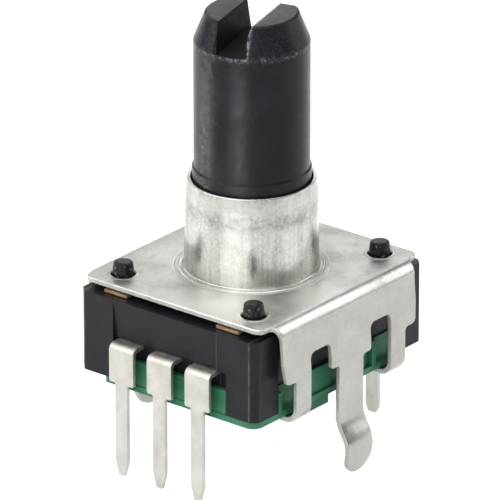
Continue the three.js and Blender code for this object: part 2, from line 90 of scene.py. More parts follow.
# Housing and the pegs that hold the bracket. The contacts pass through its wafer, and the
# signal pins leave through notches in its front wall.
PEGS = [(x * 4.3, y * 5.19) for x in (-1, 1) for y in (-1, 1)]
PEG_RADIUS, PEG_TOP_RADIUS, PEG_HOLE = 0.55, 0.48, 0.63
CASE_TOP, CASE_CHAMFER = 5.38, 0.38
SPRING_WELL, SHAFT_HOLE = 5.35, 1.85
BASE_WELL_X, BASE_WELL_Y = 4.9, 5.8
WINDOW_LEFT, WINDOW_RIGHT, WINDOW_TOP, WINDOW_RECESS = -3.25, 3.95, 2.32, 0.35
RECESS_X, RECESS_HALF, RECESS_TOP = 5.4, 5.05, 3.9
WAFER_BOTTOM, WAFER_TOP = 3.28, 3.7
PASSAGE_HALF, PASSAGE_BACK, PASSAGE_FRONT = 0.5, 0.4, 2.2
NOTCH_HALF, NOTCH_BACK, NOTCH_BOTTOM = 0.84, 5.7, 2.93

# Switch base.
BASE_HALF_X, BASE_FLOOR, BASE_LIP = 5.8, 0.6, 0.93
CORE_X, CORE_Y, SIDE_X, SIDE_HALF = 4.78, 5.68, 5.52, 4.98
SEAT_RADIUS, SWITCH_WELL = 2.6, 3.5
FOOT_X, FOOT_Y, FOOT_HALF_X, FOOT_HALF_Y = 5.05, 1.65, 0.55, 0.95
GROOVE_HALF, GROOVE_TOP, GROOVE_OPEN_Y = 0.43, 1.26, 6.4

# Pins, shaft and dome.
PITCH = 2.5
SIGNAL_PINS = [("a", -PITCH, -3.0), ("c", 0, -2.5), ("b", PITCH, -3.0)]
PIN_THICKNESS, PIN_TOP, PIN_BEND = 0.25, 3.22, 0.38
PIN_HEAD_HALF, PIN_TAIL_HALF, PIN_TIP_HALF = 0.8, 0.4, 0.175
PIN_SHOULDER_Z, PIN_TAPER_Z = 1.1, -3.2
SHAFT_TURN = math.radians(15)
PIP_RADIUS, PIP_BOTTOM, BEARING_BOTTOM = 1.5, 2.55, 4.85
SHAFT_RADIUS, BEARING_RADIUS, BEARING_TOP = 3.0, 3.08, 11.62
KEY_RADIUS, KEY_HALF, KEY_TOP = 3.6, 3.12, 5.62
TAPER_Z, TIP_RADIUS = 18.48, 2.42
FLAT_Y, FLAT_BOTTOM = 1.5, 13.0
SLOT_HALF, SLOT_HALF_TOP, SLOT_FLOOR = 0.7, 0.925, 18.5
DOME_SHEET = 0.07

# ---------------------------------------------------------------- mesh helpers, in mm


def arc(cx, cy, radius, start, end, steps):
    angles = [math.radians(start + (end - start) * i / steps) for i in range(steps + 1)]
    return [(cx + radius * math.cos(a), cy + radius * math.sin(a)) for a in angles]


def rounded(points, steps=5, closed=True):
    """Polyline of (a, b, radius) corners with each corner turned into an arc."""
    result = []
    count = len(points)
    for i, (a, b, radius) in enumerate(points):
        here = Vector((a, b))
        if radius <= 0 or (not closed and i in (0, count - 1)):
            result.append((a, b))
            continue
        before = (Vector(points[i - 1][:2]) - here).normalized()
        after = (Vector(points[(i + 1) % count][:2]) - here).normalized()
        half = before.angle(after) / 2
        reach = radius / math.tan(half)
        centre = here + (before + after).normalized() * radius / math.sin(half)
        first, last = here + before * reach - centre, here + after * reach - centre
        turn = first.angle_signed(last)
        for k in range(steps + 1):
            spun = Matrix.Rotation(-turn * k / steps, 2) @ first
            result.append(tuple(centre + spun))
    return result


def make_object(name, bm):
    """Turns a bmesh in millimetres into a finished object in metres."""
    bmesh.ops.recalc_face_normals(bm, faces=bm.faces[:])
    bmesh.ops.scale(bm, vec=(MM, MM, MM), verts=bm.verts[:])
    mesh = bpy.data.meshes.new(name)
    bm.to_mesh(mesh)
    bm.free()
    obj = bpy.data.objects.new(name, mesh)
    scene.collection.objects.link(obj)
    smooth(obj)
    return obj


def smooth(obj, sharp_angle=38):
    """Shades a mesh smooth, apart from the edges that bend more than an angle in degrees."""
    mesh = obj.data
    mesh.polygons.foreach_set("use_smooth", [True] * len(mesh.polygons))
    mesh.set_sharp_from_angle(angle=math.radians(sharp_angle))


def apply_modifiers(obj):
    graph = bpy.context.evaluated_depsgraph_get()
    mesh = bpy.data.meshes.new_from_object(obj.evaluated_get(graph))
    obj.modifiers.clear()
    obj.data = mesh


def weight_normals(obj):
    modifier = obj.modifiers.new("face_weighted_normals", "WEIGHTED_NORMAL")
    modifier.keep_sharp = True
    apply_modifiers(obj)


def lathe(bm, profile, segments=128, closed=True):
    """Turns (radius, z) points about the shaft's axis; points on the axis become one vertex."""
    turns = [2 * math.pi * i / segments for i in range(segments)]
    rings = []
    for radius, z in profile:
        if radius < 1e-6:
            rings.append([bm.verts.new((0, 0, z))] * segments)
        else:
            rings.append([bm.verts.new((radius * math.cos(t), radius * math.sin(t), z)) for t in turns])
    pairs = list(zip(rings, rings[1:])) + ([(rings[-1], rings[0])] if closed else [])
    for lower, upper in pairs:
        for i in range(segments):
            j = (i + 1) % segments
            corners = [lower[i], lower[j], upper[j], upper[i]]
            face = [v for k, v in enumerate(corners) if v not in corners[:k]]
            if len(face) > 2:
                bm.faces.new(face)


def inset(loop, distance):
    """Moves a closed loop into the metal, which lies on its left."""
    moved = []
    for i, point in enumerate(loop):
        here = Vector(point)
        into = (here - Vector(loop[i - 1])).normalized()
        out = (Vector(loop[(i + 1) % len(loop)]) - here).normalized()
        normal = Vector((into.y + out.y, -into.x - out.x)).normalized()
        stretch = distance / max(normal.dot(Vector((into.y, -into.x))), 0.3)
        moved.append(here - normal * stretch)
    return moved


# Section of the burr round a punched hole: (distance from the hole, height).
RAISED_LIP = [(0.24, 0.0), (0.17, 0.02), (0.11, 0.055), (0.06, 0.055), (0.02, 0.02), (0.0, -0.04)]


def stamped(outline, holes, thickness, edge=0.05, open_holes=(), steps=3, cut_index=0):
    """Flat blank in (x, y), top at z 0 and bottom at -thickness, its outer edge rolled over.

    The holes get a raised lip. The open holes get no wall, for another surface to join there. The
    straight part of the outer edge takes the material cut_index.
    """
    bm = bmesh.new()
    top_edges, bottom_of = [], {}
    angles = [math.pi / 2 * k / steps for k in range(steps + 1)]
    roll = [(edge * (1 - math.sin(a)), edge * (1 - math.cos(a))) for a in angles]
    rolled = [(d, -z) for d, z in roll] + [(d, z - thickness) for d, z in reversed(roll)]
    raised = RAISED_LIP + [(0.0, -thickness)]
    loops = [(outline, rolled, False)] + [(hole, raised, False) for hole in holes]
    loops += [(hole, [(0.0, 0.0), (0.0, -thickness)], True) for hole in open_holes]
    for loop, levels, is_open in loops:
        rings = []
        for distance, z in levels:
            points = inset(loop, distance) if distance else [Vector(p) for p in loop]
            rings.append([bm.verts.new((p.x, p.y, z)) for p in points])
        size = len(loop)
        for i in range(size):
            bottom_of[rings[0][i]] = rings[-1][i]
            top_edges.append(bm.edges.new((rings[0][i], rings[0][(i + 1) % size])))
        if is_open:
            continue
        for level, (upper, lower) in enumerate(zip(rings, rings[1:])):
            for i in range(size):
                j = (i + 1) % size
                face = bm.faces.new((upper[i], upper[j], lower[j], lower[i]))
                face.material_index = cut_index if level == steps else 0
    made = bmesh.ops.triangle_fill(bm, use_beauty=True, edges=top_edges, normal=(0, 0, 1))
    for face in [f for f in made["geom"] if isinstance(f, bmesh.types.BMFace)]:
        bm.faces.new([bottom_of[v] for v in reversed(face.verts)])
    return bm


def slice_across(bm, places):
    """Adds edge lines across a blank, so that it can bend there."""
    for place in places:
        bmesh.ops.bisect_plane(bm, geom=bm.verts[:] + bm.edges[:] + bm.faces[:], dist=1e-4,
                               plane_co=(place, 0, 0), plane_no=(1, 0, 0))


class Path:
    """The outer face of a bent sheet, as (out, z) points, measured by its own length."""

    def __init__(self, corners, steps=8):
        points = [Vector(p) for p in rounded(corners, steps, closed=False)]
        self.points = [p for i, p in enumerate(points) if not i or (p - points[i - 1]).length > 1e-5]
        self.lengths = [0.0]
        for a, b in zip(self.points, self.points[1:]):
            self.lengths.append(self.lengths[-1] + (b - a).length)
        self.normals = []
        for i, point in enumerate(self.points):
            into = point - self.points[i - 1] if i else self.points[1] - point
            out = self.points[i + 1] - point if i + 1 < len(self.points) else into
            into, out = into.normalized(), out.normalized()
            normal = Vector((-into.y - out.y, into.x + out.x)).normalized()
            self.normals.append(normal / normal.dot(Vector((-into.y, into.x))))

    def at(self, length, depth):
        """The point at a length along the sheet and a depth under its outer face."""
        spans = range(len(self.lengths) - 1)
        i = next((k for k in spans if length <= self.lengths[k + 1]), len(self.lengths) - 2)
        share = (length - self.lengths[i]) / (self.lengths[i + 1] - self.lengths[i])
        ends = [self.points[k] - self.normals[k] * depth for k in (i, i + 1)]
        return ends[0].lerp(ends[1], share)

    def length_at_z(self, z):
        for i in range(len(self.points) - 1):
            a, b = self.points[i], self.points[i + 1]
            if a.y >= z > b.y:
                span = self.lengths[i + 1] - self.lengths[i]
                return self.lengths[i] + span * (a.y - z) / (a.y - b.y)
        return self.lengths[-1]


def bend(bm, place):
    for vert in bm.verts:
        vert.co = place(vert.co.x, vert.co.y, -vert.co.z)


def prism(name, first, last):
    """Solid between two outlines of (x, y, z) points that have the same number of corners."""
    bm = bmesh.new()
    lower = [bm.verts.new(p) for p in first]
    upper = [bm.verts.new(p) for p in last]
    bm.faces.new(list(reversed(lower)))
    bm.faces.new(upper)
    size = len(lower)
    for i in range(size):
        j = (i + 1) % size
        bm.faces.new((lower[i], lower[j], upper[j], upper[i]))
    return make_object(name, bm)


def plan_block(name, outline, z0, z1):
    return prism(name, [(x, y, z0) for x, y in outline], [(x, y, z1) for x, y in outline])


def block(x0, x1, y0, y1, z0, z1):
    return plan_block("tool", [(x0, y0), (x1, y0), (x1, y1), (x0, y1)], z0, z1)


def drum(radius, z0, z1, segments=96):
    return plan_block("tool", arc(0, 0, radius, 0, 360, segments)[:-1], z0, z1)


def combine(obj, tools, operation):
    for tool in tools:
        modifier = obj.modifiers.new("combine", "BOOLEAN")
        modifier.operation = operation
        modifier.solver = "EXACT"
        modifier.object = tool
        apply_modifiers(obj)
        bpy.data.objects.remove(tool)


def soften_edges(obj, width, segments=3):
    """Rounds the edges that bend more than 32 degrees."""
    modifier = obj.modifiers.new("soft_edges", "BEVEL")
    modifier.width = width * MM
    modifier.segments = segments
    modifier.limit_method = "ANGLE"
    modifier.angle_limit = math.radians(32)
    modifier.miter_outer = "MITER_ARC"
    modifier.use_clamp_overlap = True
    apply_modifiers(obj)
    smooth(obj)
    weight_normals(obj)


def place_piece(obj, body, material, slot, *nodes):
    """Gives a new piece its material and its body, and hides the CAD nodes it stands for. The slot argument
    is not used.
    """
    obj.data.materials.clear()
    obj.data.materials.append(material)
    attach(obj, body)
    if nodes:
        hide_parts(*nodes)
    return obj


# ---------------------------------------------------------------- materials


class Nodes:
    """A short way to write a material's node tree. Lengths are in millimetres."""

    def __init__(self, name):
        self.material = bpy.data.materials.new(name)
        self.material.use_nodes = True
        self.tree = self.material.node_tree
        self.shader = self.tree.nodes["Principled BSDF"]
        self.place = self.node("ShaderNodeTexCoord").outputs["Object"]

    def node(self, kind, **settings):
        node = self.tree.nodes.new(kind)
        for key, value in settings.items():
            setattr(node, key, value)
        return node

    def link(self, source, target):
        self.tree.links.new(source, target)

    def noise(self, per_mm, detail=3.0, stretch=(1, 1, 1), rough=0.55):
        mapping = self.node("ShaderNodeMapping")
        self.link(self.place, mapping.inputs["Vector"])
        mapping.inputs["Scale"].default_value = [s * per_mm / MM for s in stretch]
        noise = self.node("ShaderNodeTexNoise")
        self.link(mapping.outputs["Vector"], noise.inputs["Vector"])
        noise.inputs["Scale"].default_value = 1.0
        noise.inputs["Detail"].default_value = detail
        noise.inputs["Roughness"].default_value = rough
        return noise.outputs["Fac"]

    def remap(self, value, low, high, to_low, to_high):
        node = self.node("ShaderNodeMapRange")
        self.link(value, node.inputs["Value"])
        limits = {"From Min": low, "From Max": high, "To Min": to_low, "To Max": to_high}
        for key, number in limits.items():
            node.inputs[key].default_value = number
        return node.outputs["Result"]

    def math(self, operation, a, b=0.0):
        node = self.node("ShaderNodeMath", operation=operation)
        for socket, value in zip(node.inputs, (a, b)):
            if isinstance(value, (int, float)):
                socket.default_value = value
            else:
                self.link(value, socket)
        return node.outputs["Value"]

    def times(self, *values):
        product = values[0]
        for value in values[1:]:
            product = self.math("MULTIPLY", product, value)
        return product

    def axis(self, letter):
        """The point's X, Y or Z."""
        split = self.node("ShaderNodeSeparateXYZ")
        self.link(self.place, split.inputs[0])
        return self.math("MULTIPLY", split.outputs[letter], 1 / MM)

    def away(self, value, centre):
        """How far a value is from a number."""
        return self.math("ABSOLUTE", self.math("SUBTRACT", value, centre))

    def mix(self, factor, first, second):
        node = self.node("ShaderNodeMix", data_type="RGBA")
        self.link(factor, node.inputs[0])
        for socket, value in ((node.inputs[6], first), (node.inputs[7], second)):
            if isinstance(value, tuple):
                socket.default_value = (*value, 1)
            else:
                self.link(value, socket)
        return node.outputs[2]

    def tint(self, color, other, *masks):
        """Lays another colour over the colour, as much as all the masks allow."""
        return self.mix(self.times(*masks), color, other)

    def clouds(self, per_mm, dark, light):
        return self.mix(self.remap(self.noise(per_mm, 4), 0.35, 0.65, 0, 1), dark, light)

    def bump(self, height, distance, normal=None):
        node = self.node("ShaderNodeBump")
        node.inputs["Distance"].default_value = distance * MM
        self.link(height, node.inputs["Height"])
        if normal:
            self.link(normal, node.inputs["Normal"])
        return node.outputs["Normal"]

    def finish(self, color, roughness, normal=None, metallic=0.0, specular=0.5):
        self.link(color, self.shader.inputs["Base Color"])
        self.link(roughness, self.shader.inputs["Roughness"])
        if normal:
            self.link(normal, self.shader.inputs["Normal"])
        self.shader.inputs["Metallic"].default_value = metallic
        self.shader.inputs["Specular IOR Level"].default_value = specular
        return self.material


def plated_steel():
    """Satin plate and sides; the drawn collar is smoother, with upright drawing marks, and painted light
    and shade.
    """
    n = Nodes("plated_steel")
    above = n.math("SUBTRACT", n.axis("Z"), PLATE_TOP)
    drawn = n.remap(above, 0.04, 0.17, 0, 1)
    side = n.remap(above, -0.68, -0.13, 1, 0)

    color = n.clouds(0.45, (0.44, 0.438, 0.415), (0.61, 0.608, 0.58))
    stains = n.remap(n.noise(1.6, 5, rough=0.7), 0.56, 0.72, 0, 0.4)
    color = n.tint(color, (0.25, 0.25, 0.235), stains, n.remap(side, 0, 1, 1, 0.3))
    # Painted highlight: the plate's colour turns lighter towards its front-right corner, away from the
    # collar and the sides.
    toward_corner = n.math("SUBTRACT", n.axis("X"), n.axis("Y"))
    painted_front_highlight = n.times(n.remap(toward_corner, 3.5, 7, 0, 0.75), n.remap(drawn, 0, 1, 1, 0))
    color = n.tint(color, (0.8, 0.797, 0.765), painted_front_highlight, n.remap(side, 0, 0.5, 1, 0))

    bands = n.remap(n.noise(1.1, 3, stretch=(1, 1, 0.03)), 0.4, 0.58, 0, 0.75)
    color = n.tint(color, (0.28, 0.28, 0.262), bands, drawn)
    streaks = n.remap(n.noise(6, 3, stretch=(1, 1, 0.05)), 0.45, 0.65, 0, 0.22)
    color = n.tint(color, (0.76, 0.755, 0.72), streaks, drawn)
    # Painted reflection: a dark band round the collar just below its shoulder, broken up by the patchy
    # noise.
    shoulder = n.remap(n.away(above, 3.6), 0.2, 0.65, 0.9, 0)
    patchy = n.remap(n.noise(1.4, 4, rough=0.7), 0.35, 0.6, 0.25, 1)
    color = n.tint(color, (0.22, 0.22, 0.208), shoulder, patchy)
    # Painted highlight: the collar's shoulder slope is lifted to a lighter grey over the dark band; the
    # same zone is also made a little rougher below.
    lip = n.times(n.remap(above, 3.97, 4.27, 0, 1), n.remap(above, 4.52, 4.87, 1, 0))
    color = n.tint(color, (0.48, 0.477, 0.455), lip, patchy)

    spangle = n.remap(n.noise(6, 3, rough=0.65), 0.35, 0.65, 0, 0.35)
    color = n.tint(color, (0.74, 0.735, 0.70), spangle)
    pits = n.remap(n.noise(7, 4, rough=0.75), 0.6, 0.7, 0, 0.5)
    color = n.tint(color, (0.2, 0.2, 0.185), pits, n.remap(drawn, 0, 1, 1, 0.4))
    # Painted shade: everything below the plate's top, most of all the skirt, tabs and hook legs, is
    # darkened.
    color = n.tint(color, (0.32, 0.317, 0.296), side, 0.65)

    plate_roughness = n.remap(n.away(above, 0), 0.01, 0.03, 0.2, 0)
    roughness = n.math("ADD", n.remap(n.noise(0.8, 4), 0.3, 0.7, 0.18, 0.34), plate_roughness)
    roughness = n.math("ADD", roughness, n.times(lip, 0.05))
    waves = n.bump(n.noise(0.5, 2), 0.05)
    marks = n.bump(n.times(n.noise(9, 2, stretch=(1, 1, 0.05)), drawn), 0.005, normal=waves)
    grain = n.bump(n.noise(16, 3), 0.0025, normal=marks)
    return n.finish(color, roughness, grain, 1.0)


def pin_plating():
    """Dull tin, with fine marks along the pin."""
    n = Nodes("pin_plating")
    color = n.clouds(0.9, (0.49, 0.48, 0.445), (0.59, 0.58, 0.54))
    roughness = n.remap(n.noise(3, 3, stretch=(1, 1, 0.2)), 0.3, 0.7, 0.42, 0.58)
    rolled = n.bump(n.noise(10, 2, stretch=(1, 1, 0.06)), 0.004)
    grain = n.bump(n.noise(14, 3), 0.003, normal=rolled)
    return n.finish(color, roughness, grain, 1.0)


def strip_metal(name, dark, light, rough, metallic=1.0):
    """Rolled strip, with fine marks along x."""
    n = Nodes(name)
    color = n.clouds(1.2, dark, light)
    rolled = n.bump(n.noise(12, 2, stretch=(0.08, 1, 1)), 0.006)
    roughness = n.remap(n.noise(3, 3), 0.3, 0.7, *rough)
    return n.finish(color, roughness, rolled, metallic)


def moulded(name, dark, light, rough, grain=0.003, marks=None, specular=0.5):
    """Moulded plastic with slow flow waves and a fine grain."""
    n = Nodes(name)
    color = n.clouds(0.6, dark, light)
    if marks:
        color = marks(n, color)
    roughness = n.remap(n.noise(2.0, 4), 0.3, 0.7, *rough)
    flow = n.bump(n.noise(0.7, 2), 0.02)
    fine = n.bump(n.noise(18, 4), grain, normal=flow)
    return n.finish(color, roughness, fine, 0.0, specular)


def shaft_marks(n, color):
    """Pale rubbing where the taper begins, on the tip and along the slot's edges."""
    height = n.axis("Z")
    near_taper = n.remap(n.away(height, TAPER_Z - 0.08), 0, 0.22, 1, 0)
    specks = n.remap(n.noise(5, 5, rough=0.75), 0.5, 0.66, 0, 0.5)
    color = n.tint(color, (0.36, 0.36, 0.4), near_taper, specks)
    tip = n.remap(height, TAPER_Z - 0.18, TAPER_Z + 0.12, 0, 1)
    dusty = n.remap(n.noise(11, 5, rough=0.8), 0.5, 0.75, 0, 0.25)
    color = n.tint(color, (0.2, 0.2, 0.24), tip, dusty)
    across = n.math("ADD", n.times(n.axis("X"), math.cos(SHAFT_TURN)),
                    n.times(n.axis("Y"), math.sin(SHAFT_TURN)))
    slot_edge = n.remap(n.away(across, 0.86), 0.06, 0.2, 1, 0)
    rubbed = n.remap(n.noise(5, 5, rough=0.75), 0.42, 0.6, 0, 0.75)
    return n.tint(color, (0.34, 0.34, 0.37), slot_edge, rubbed, tip)


def peg_painted_glints(n, color):
    """Small pale specks: painted glints on the glossy pegs."""
    specks = n.remap(n.noise(6, 4, rough=0.7), 0.58, 0.68, 0, 0.8)
    return n.tint(color, (0.24, 0.24, 0.25), specks)


def case_edge_highlights_and_dust(n, color):
    """Painted highlights along the upright corners and the flash line of the front wall, and dust."""
    x = n.axis("X")
    # Painted highlights: pale lines along the corners and the flash line, where the edges would catch the
    # light.
    lines = 0.0
    for centre, half in ((3.32, 0.025), (5.43, 0.05), (-5.43, 0.05)):
        lines = n.math("ADD", n.remap(n.away(x, centre), half * 0.4, half, 1, 0), lines)
    patchy = n.remap(n.noise(1.6, 4, rough=0.7), 0.3, 0.6, 0.2, 0.8)
    color = n.tint(color, (0.09, 0.088, 0.108), lines, patchy)
    dust = n.remap(n.noise(8, 5, rough=0.8), 0.62, 0.75, 0, 0.25)
    return n.tint(color, (0.12, 0.12, 0.14), dust)


STEEL = plated_steel()
PIN = pin_plating()
CUT_STEEL = strip_metal("cut_edge", (0.33, 0.325, 0.3), (0.45, 0.445, 0.41), (0.44, 0.58), 0.35)
BRONZE = strip_metal("bronze_strip", (0.38, 0.25, 0.12), (0.56, 0.4, 0.23), (0.3, 0.44), 0.6)
CONTACT = strip_metal("contact_strip", (0.62, 0.45, 0.2), (0.8, 0.62, 0.34), (0.22, 0.36))
DOME = strip_metal("dome_strip", (0.6, 0.6, 0.6), (0.74, 0.74, 0.74), (0.16, 0.3))
CASE_BLACK = moulded("black_moulding", (0.006, 0.0062, 0.0084), (0.0098, 0.0101, 0.0132),
                     (0.34, 0.48), marks=case_edge_highlights_and_dust, specular=0.2)
PEG_BLACK = moulded("peg_moulding", (0.004, 0.004, 0.0045), (0.007, 0.007, 0.0078),
                    (0.22, 0.4), grain=0.012, marks=peg_painted_glints, specular=0.22)
SHAFT_BLACK = moulded("shaft_moulding", (0.005, 0.0051, 0.0075), (0.009, 0.0092, 0.013),
                      (0.22, 0.32), grain=0.002, marks=shaft_marks, specular=0.15)
# The slot's walls get a copy of the shaft plastic that reflects little: painted shade inside the slot.
SLOT_BLACK = moulded("slot_moulding", (0.007, 0.007, 0.0078), (0.013, 0.013, 0.0145),
                     (0.4, 0.6), specular=0.04)
GREEN = moulded("green_moulding", (0.021, 0.127, 0.067), (0.031, 0.17, 0.092),
                (0.34, 0.5), specular=0.32)
ACETAL = moulded("acetal", (0.62, 0.6, 0.54), (0.74, 0.72, 0.66), (0.35, 0.5))

# ---------------------------------------------------------------- bracket

SKIRT_CORNERS = [(0, PLATE_TOP, 0), (BEND_X, PLATE_TOP, BEND_RADIUS), (SKIRT_X, 3.0, 1.2)]
leg_path = Path(SKIRT_CORNERS + [
    (SKIRT_X, KNEE_Z, 1.5), (HIP_X, HIP_Z, 1.8), (LEG_TIP_X, LEG_TIP_Z, 0),
])
tab_path = Path(SKIRT_CORNERS + [(SKIRT_X, TAB_UNDER, 0.8), (TAB_REACH, TAB_UNDER, 0)])


def bracket_side():
    """Right half of the flat blank, from its -y end to its +y end, as (length, y, radius)."""
    bend_end = leg_path.length_at_z(5.15)
    slot_end = leg_path.length_at_z(SLOT_TOP)
    skirt_end = leg_path.length_at_z(SKIRT_BOTTOM)
    shoulder = leg_path.length_at_z(LEG_SHOULDER_Z)
    tab_end = tab_path.lengths[-1]
    leg_end = leg_path.lengths[-1]
    half = [
        (PLATE_HALF_X, -PLATE_HALF_Y, PLATE_CORNER), (PLATE_HALF_X, -SKIRT_HALF_Y - 0.19, 0.35),
        (bend_end, -SKIRT_HALF_Y, 0.6), (slot_end, -SKIRT_HALF_Y, 0.8),
        (skirt_end, -SKIRT_END_Y, 0.3), (skirt_end, -TAB_OUTER, 0.2),
        (tab_end, -TAB_OUTER, 0.15), (tab_end, -TAB_INNER, 0.15),
        (slot_end, -TAB_INNER, 0.35), (slot_end, -SLOT_INNER, 0.35),
        (shoulder, -SLOT_INNER, 0.18), (shoulder, -LEG_HALF, 0.18),
        (leg_end, -LEG_HALF, LEG_HALF * 0.98),
    ]
    return half + [(s, -y, r) for s, y, r in reversed(half)]


def bracket_point(length, y, depth):
    """Bends the blank: the tabs follow one path, and the skirt and leg between them the other."""
    side = 1 if length >= 0 else -1
    path = tab_path if abs(y) > (TAB_INNER + SLOT_INNER) / 2 else leg_path
    point = path.at(abs(length), depth)
    return Vector((side * point.x, y, point.y))


# Fine rings that the drawing die leaves round the collar: (radius, height above the plate, fillet).
FOOT_RINGS = [(4.14, -0.004, 0.2), (4.03, -0.03, 0.05), (3.94, 0.006, 0.04), (3.85, -0.02, 0.04),
              (3.75, 0.05, 0.05), (3.64, 0.004, 0.04), (COLLAR_OUTER, 0.06, 0.05)]


def collar_profile():
    """Outer skin from the plate up to the rim, then the bore down to the plate's underside."""
    under = PLATE_TOP - SHEET
    rings = [(radius, PLATE_TOP + height, fillet) for radius, height, fillet in FOOT_RINGS]
    return rounded([(COLLAR_FOOT, PLATE_TOP, 0)] + rings + [
        (COLLAR_SHOULDER, COLLAR_SHOULDER_Z, 0.6), (RIM_OUTER, COLLAR_TOP, 0.07),
        (COLLAR_BORE, COLLAR_TOP, 0.07), (COLLAR_BORE, under, 0.35), (COLLAR_FOOT, under, 0),
    ], 6, closed=False)


def build_bracket():
    side = bracket_side()
    outline = rounded(side + [(-s, -y, radius) for s, y, radius in side], 6)
    holes = [arc(x, y, PEG_HOLE, 0, -360, 40)[:-1] for x, y in PEGS]
    foot = arc(0, 0, COLLAR_FOOT, 0, -360, 128)[:-1]
    bm = stamped(outline, holes, SHEET, edge=0.055, open_holes=[foot], cut_index=1)
    cuts = {round(s, 4) for path in (leg_path, tab_path) for s in path.lengths[1:-1]}
    slice_across(bm, sorted(cuts | {-s for s in cuts}))
    bend(bm, bracket_point)
    lathe(bm, collar_profile(), 128, closed=False)
    bmesh.ops.remove_doubles(bm, verts=bm.verts[:], dist=2e-4)
    obj = make_object("bracket_sheet", bm)
    weight_normals(obj)
    cut_faces = [face.material_index for face in obj.data.polygons]
    place_piece(obj, "frame", STEEL, "bracket_steel", "bracket")
    obj.data.materials.append(CUT_STEEL)
    obj.data.polygons.foreach_set("material_index", cut_faces)


# ---------------------------------------------------------------- housing and base


def chamfered_plan(x, y, cut):
    """Rectangle with half sizes x and y and chamfered corners, counter-clockwise."""
    return [(x, -y + cut), (x, y - cut), (x - cut, y), (-x + cut, y),
            (-x, y - cut), (-x, -y + cut), (-x + cut, -y), (x - cut, -y)]


def front_wall_tool():
    """Leans the middle of the front wall in towards its lower edge."""
    y, top, lower, lean = housing_low.y, 5.3, WAFER_BOTTOM - 0.2, 0.24
    section = [(y - 0.3, top), (y, top), (y + lean, lower), (y - 0.3, lower)]
    return prism("tool", *([(x, sy, sz) for sy, sz in section] for x in (-3.5, 3.3)))


def build_housing():
    x, y = housing_high.x, housing_high.y
    bottom = housing_low.z
    body = plan_block("housing_moulding", chamfered_plan(x, y, CASE_CHAMFER), bottom, CASE_TOP)
    tools = [
        drum(SPRING_WELL, WAFER_TOP, CASE_TOP + 1),
        drum(SHAFT_HOLE, bottom, CASE_TOP, 48),
        block(-BASE_WELL_X, BASE_WELL_X, -BASE_WELL_Y, BASE_WELL_Y, bottom - 1, WAFER_BOTTOM),
        block(WINDOW_LEFT, WINDOW_RIGHT, -y - 1, y + 1, bottom - 1, WINDOW_TOP),
        front_wall_tool(),
    ]
    for side in (-1, 1):
        wall, floor_x = side * (y - WINDOW_RECESS), side * RECESS_X
        tools.append(block(WINDOW_LEFT, WINDOW_RIGHT, *sorted((wall, side * (y + 1))),
                           bottom - 0.5, WAFER_BOTTOM - 0.01))
        tools.append(block(*sorted((floor_x, side * (x + 1))), -RECESS_HALF, RECESS_HALF,
                           bottom - 1, RECESS_TOP))
    for _, pin_x, contact_y in SIGNAL_PINS:
        tools.append(block(pin_x - PASSAGE_HALF, pin_x + PASSAGE_HALF, contact_y - PASSAGE_FRONT,
                           contact_y + PASSAGE_BACK, WAFER_BOTTOM - 1, WAFER_TOP + 1))
        tools.append(block(pin_x - NOTCH_HALF, pin_x + NOTCH_HALF, -y - 1, -NOTCH_BACK,
                           NOTCH_BOTTOM, WAFER_BOTTOM))
    combine(body, tools, "DIFFERENCE")
    soften_edges(body, 0.05)
    place_piece(body, "frame", CASE_BLACK, "black_moulding", "housing")


def build_peg(index, x, y):
    """Heat-staked peg with a slightly crowned, narrower head."""
    bottom, top = CASE_TOP - 0.1, housing_high.z
    profile = rounded([
        (0, bottom, 0), (PEG_RADIUS, bottom, 0), (PEG_RADIUS, PLATE_TOP + 0.35, 0.2),
        (PEG_TOP_RADIUS + 0.02, top - 0.03, 0.12), (PEG_TOP_RADIUS - 0.14, top, 0.05), (0, top, 0),
    ], 5, closed=False)
    bm = bmesh.new()
    lathe(bm, profile, 48, closed=False)
    bmesh.ops.translate(bm, vec=(x, y, 0), verts=bm.verts[:])
    place_piece(make_object(f"peg_{index}", bm), "frame", PEG_BLACK, "black_moulding")


# Ribs on the side that faces +x: y, width, outer x and how far the top stays below the base's top.
RIBS = [(-4.85, 0.3, 5.8, 0.3), (-2.85, 0.35, 5.8, 0.02), (-1.4, 1.7, 5.66, 0.03),
        (1.4, 1.7, 5.66, 0.5), (2.85, 0.35, 5.8, 0.02), (4.85, 0.3, 5.8, 0.3)]


def base_parts():
    """What stands on the base's floor plate or hangs under it: core, seat, sides, ribs and feet."""
    y, top = base_high.y, base_high.z
    bottom, overlap = BASE_FLOOR, BASE_FLOOR + 0.1
    parts = [
        block(-CORE_X, CORE_X, -CORE_Y, CORE_Y, bottom + 0.02, top),
        block(WINDOW_LEFT + 0.12, WINDOW_RIGHT - 0.12, -y + 0.06, y - 0.06, bottom + 0.01, top - 0.04),
        drum(SEAT_RADIUS, base_low.z, overlap, 64),
    ]
    for side in (-1, 1):
        inner = side * (RECESS_X + 0.05)
        parts.append(block(*sorted((inner, side * SIDE_X)), -SIDE_HALF, SIDE_HALF,
                           bottom + 0.02, top - 0.05))
        for rib_y, width, outer, lower in RIBS:
            centre = side * rib_y
            parts.append(block(*sorted((inner, side * outer)), centre - width / 2, centre + width / 2,
                               bottom + 0.03, top - lower))
    for side in (-1, 1):
        foot_x, foot_y = side * FOOT_X, side * -FOOT_Y
        parts.append(block(foot_x - FOOT_HALF_X, foot_x + FOOT_HALF_X, foot_y - FOOT_HALF_Y,
                           foot_y + FOOT_HALF_Y, base_low.z, overlap))
    return parts


